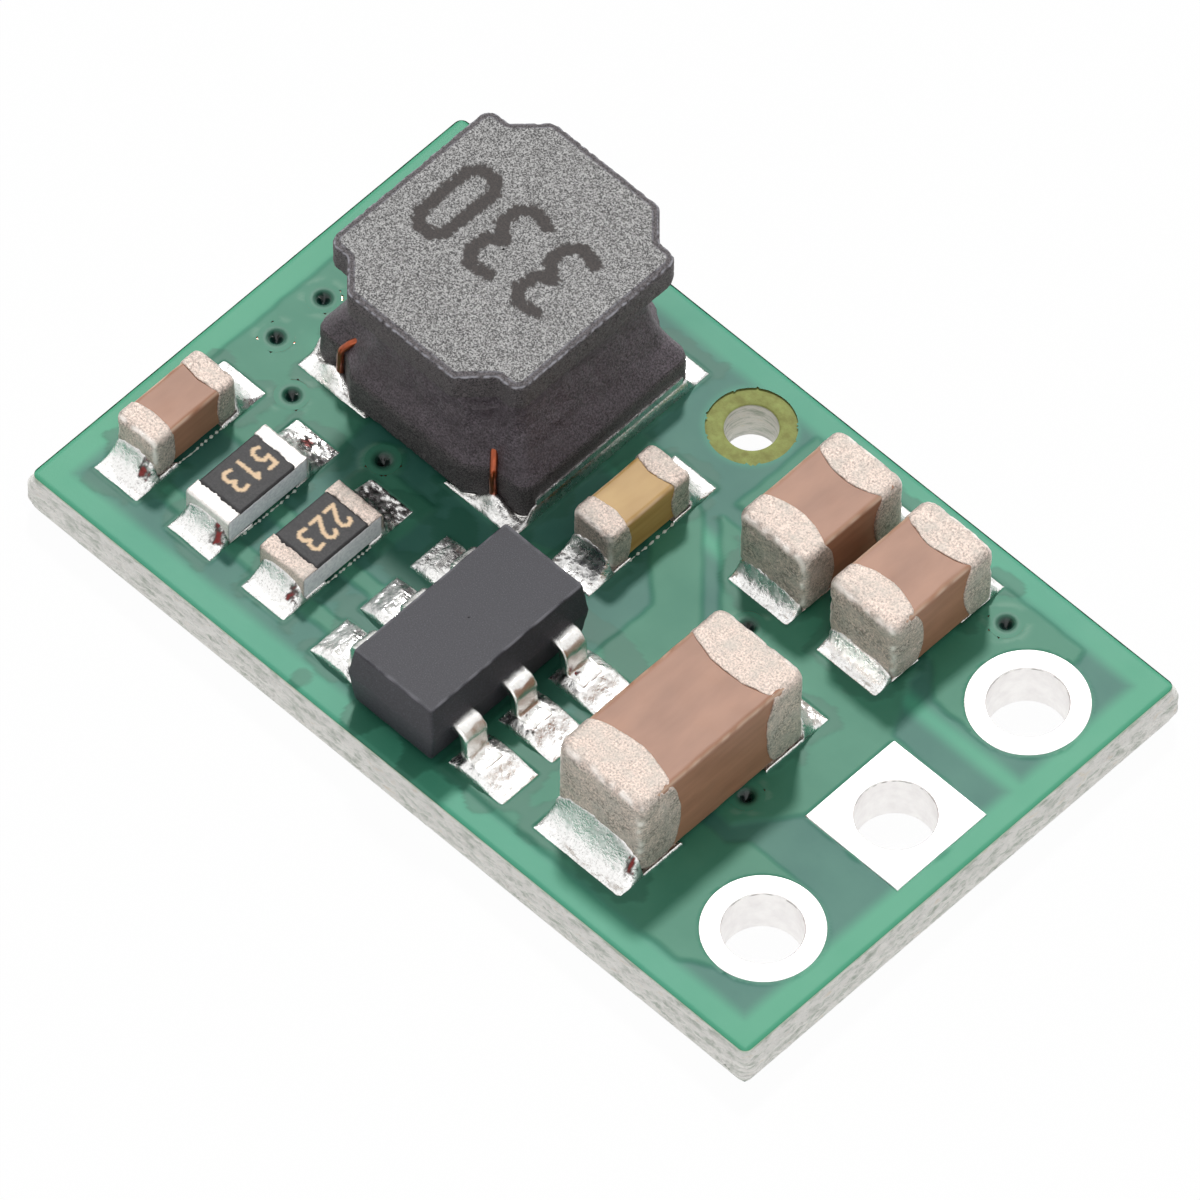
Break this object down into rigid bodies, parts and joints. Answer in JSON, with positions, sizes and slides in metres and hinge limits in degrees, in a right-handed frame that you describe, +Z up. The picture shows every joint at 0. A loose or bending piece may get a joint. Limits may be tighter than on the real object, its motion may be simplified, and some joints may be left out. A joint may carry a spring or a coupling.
{
  "type": "buck converter module",
  "caption": "Small step-down power converter board with a square shielded inductor, a six-lead controller, chip capacitors and resistors, and a row of plated pin holes.",
  "frame": {"origin": "centre of the board's underside", "axes": "+X along the board towards the pin holes, +Y across the board towards the inductor's side, +Z up out of the component side"},
  "size_m": [0.0136, 0.0084, 0.0036],
  "materials": {
    "laminate": "matte",
    "copper": "satin",
    "solder_mask": "glossy",
    "plating": "satin",
    "ferrite": "matte",
    "resin": "matte",
    "wire": "glossy",
    "electrode": "satin",
    "solder": "glossy",
    "capacitor_ceramic": "satin",
    "capacitor_ceramic_tan": "satin",
    "termination": "matte",
    "moulding": "matte",
    "silicon": "glossy",
    "lead": "satin",
    "alumina": "matte",
    "overcoat": "satin"
  },
  "bodies": {
    "root": {"board_copper_bottom": "copper", "board_copper_top": "copper", "board_laminate": "laminate", "board_mask_bottom": "solder_mask", "board_mask_top": "solder_mask", "boost_capacitor_ceramic": "capacitor_ceramic_tan", "boost_capacitor_end_1": "termination", "boost_capacitor_end_2": "termination", "boost_capacitor_solder": "solder", "controller_body": "moulding", "controller_die": "silicon", "controller_lead_1": "lead", "controller_lead_2": "lead", "controller_lead_3": "lead", "controller_lead_4": "lead", "controller_lead_5": "lead", "controller_lead_6": "lead", "controller_solder": "solder", "feedback_capacitor_ceramic": "capacitor_ceramic", "feedback_capacitor_end_1": "termination", "feedback_capacitor_end_2": "termination", "feedback_capacitor_solder": "solder", "feedback_resistor_1_end_1": "termination", "feedback_resistor_1_end_2": "termination", "feedback_resistor_1_overcoat": "overcoat", "feedback_resistor_1_solder": "solder", "feedback_resistor_1_substrate": "alumina", "feedback_resistor_2_end_1": "termination", "feedback_resistor_2_end_2": "termination", "feedback_resistor_2_overcoat": "overcoat", "feedback_resistor_2_solder": "solder", "feedback_resistor_2_substrate": "alumina", "inductor_coil": "wire", "inductor_core": "ferrite", "inductor_electrode_1": "electrode", "inductor_electrode_2": "electrode", "inductor_resin": "resin", "inductor_solder": "solder", "inductor_wire_ends": "wire", "input_capacitor_ceramic": "capacitor_ceramic", "input_capacitor_end_1": "termination", "input_capacitor_end_2": "termination", "input_capacitor_solder": "solder", "output_capacitor_1_ceramic": "capacitor_ceramic", "output_capacitor_1_end_1": "termination", "output_capacitor_1_end_2": "termination", "output_capacitor_1_solder": "solder", "output_capacitor_2_ceramic": "capacitor_ceramic", "output_capacitor_2_end_1": "termination", "output_capacitor_2_end_2": "termination", "output_capacitor_2_solder": "solder", "pin_hole_plating_1": "plating", "pin_hole_plating_2": "plating", "pin_hole_plating_3": "plating", "via_barrels": "copper"}
  },
  "joints": []
}
